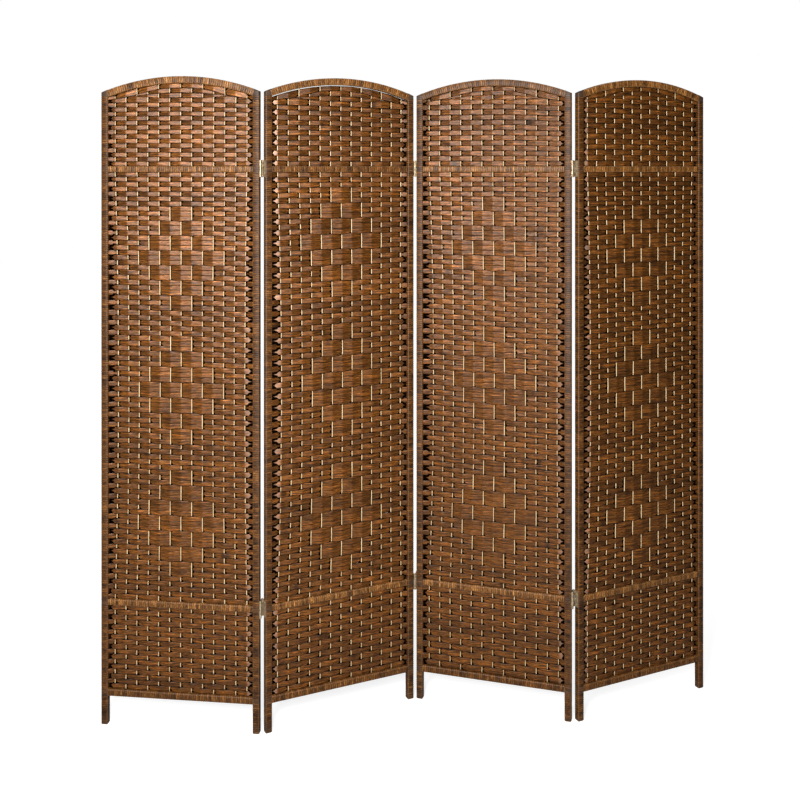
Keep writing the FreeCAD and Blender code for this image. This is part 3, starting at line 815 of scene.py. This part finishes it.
for number in range(1, PANELS + 1):
    panel = Panel(number)
    plan = WEAVES[number]
    bottom_z = RAILS["bottom"][0] + RAILS["bottom"][1]
    lower_z = RAILS["lower"][0] - RAILS["lower"][1]
    plans = [(tabby((plan["bottom_first"] + n) % 2), None) for n in range(plan["bottom"])]
    rows = bay(panel, "bot", plan["bottom"], plan["tighten"][0], bottom_z, lower_z, plans)
    piece(ribbon_mesh(f"panel_{number}_weave_bottom_ribbons", panel, rows), panel,
          f"panel_{number}_weave_bottom", WEAVE)

    plans = middle_rows(plan["middle"], plan["diamond"])
    rows = bay(panel, "middle", plan["middle"], plan["tighten"][1], *MIDDLE_BAY, plans, plan["drift"])
    third = math.ceil(len(rows) / 3)
    for n, word in enumerate(("high", "centre", "low")):
        mesh = ribbon_mesh(f"panel_{number}_weave_middle_{word}_ribbons", panel, rows[n * third:(n + 1) * third])
        piece(mesh, panel, f"panel_{number}_weave_middle", WEAVE)

    rows = top_bay(panel, plan, RAILS["upper"][0] + RAILS["upper"][1])
    piece(ribbon_mesh(f"panel_{number}_weave_top_ribbons", panel, rows), panel,
          f"panel_{number}_weave_top", WEAVE)

    piece(round_stakes(panel), panel, f"panel_{number}_stakes", LOOKS["stake_wood"])

    wraps = {
        "stile_left": [stile_wrap(panel, 0)],
        "stile_right": [stile_wrap(panel, 1)],
        "rails": [arch_wrap(panel)] + [rail_wrap(panel, name) for name in RAILS],
    }
    for word, parts in wraps.items():
        piece(finish_wrap(f"panel_{number}_wound_{word}", parts), panel,
              f"panel_{number}_frame_wraps", WRAP)

slot_of = {row["node"]: row["material_slot"] for row in frame["record"]["subparts"]}
for name, obj in frame["nodes"].items():
    for material_slot in obj.material_slots:
        material_slot.material = LOOKS[slot_of[name]]

# ---- floor, light and camera -----------------------------------------------------------------------------------
FLOOR = 14.0              # half the floor's side
AMBIENT = 0.018           # strength of the light from all round; the camera sees the surroundings white
KEY_PLACE, KEY_TARGET, KEY_SIZE, KEY_POWER = (-0.50, -2.45, 1.70), (0, 0, 0.95), (0.7, 0.7), 122
TOP_PLACE, TOP_TARGET, TOP_SIZE, TOP_POWER = (0, -0.3, 4.5), (0, -0.3, 0), (4.0, 3.0), 60
EYE = (-0.0362, -2.9673, 1.5417)
LENS, SENSOR = 46.71, 36.0
SHIFT = -0.28775          # the camera looks level and is shifted down, so that upright lines stay upright
FAR_LIMIT = 60

bpy.ops.mesh.primitive_grid_add(x_subdivisions=8, y_subdivisions=8, size=2 * FLOOR, location=(0, 0, 0))
floor = bpy.context.object
floor.name = "studio_floor"
floor.data.materials.append(floor_material())

world = bpy.data.worlds.new("studio")
bpy.context.scene.world = world
world.use_nodes = True
tree = world.node_tree
tree.nodes.clear()
path = tree.nodes.new("ShaderNodeLightPath")
background = tree.nodes.new("ShaderNodeBackground")
strength = tree.nodes.new("ShaderNodeMath")
strength.operation = "MULTIPLY_ADD"
strength.inputs[1].default_value = 1.0 - AMBIENT
strength.inputs[2].default_value = AMBIENT
out = tree.nodes.new("ShaderNodeOutputWorld")
tree.links.new(path.outputs["Is Camera Ray"], strength.inputs[0])
tree.links.new(strength.outputs[0], background.inputs["Strength"])
background.inputs["Color"].default_value = (1, 1, 1, 1)
tree.links.new(background.outputs[0], out.inputs[0])


def area_light(name, place, target, size, power):
    data = bpy.data.lights.new(name, "AREA")
    data.shape = "RECTANGLE"
    data.size, data.size_y = size
    data.energy = power
    obj = bpy.data.objects.new(name, data)
    bpy.context.scene.collection.objects.link(obj)
    obj.location = place
    direction = np.array(target, float) - np.array(place, float)
    obj.rotation_euler = Vector(direction).to_track_quat("-Z", "Y").to_euler()


area_light("key", KEY_PLACE, KEY_TARGET, KEY_SIZE, KEY_POWER)
area_light("top", TOP_PLACE, TOP_TARGET, TOP_SIZE, TOP_POWER)

camera_data = bpy.data.cameras.new("camera")
camera = bpy.data.objects.new("camera", camera_data)
bpy.context.scene.collection.objects.link(camera)
camera.location = EYE
camera.rotation_euler = (math.radians(90), 0, 0)
camera_data.sensor_width = SENSOR
camera_data.lens = LENS
camera_data.shift_y = SHIFT
camera_data.clip_end = FAR_LIMIT
bpy.context.scene.camera = camera
bpy.context.scene.view_settings.view_transform = "Standard"
bpy.context.scene.view_settings.look = "None"
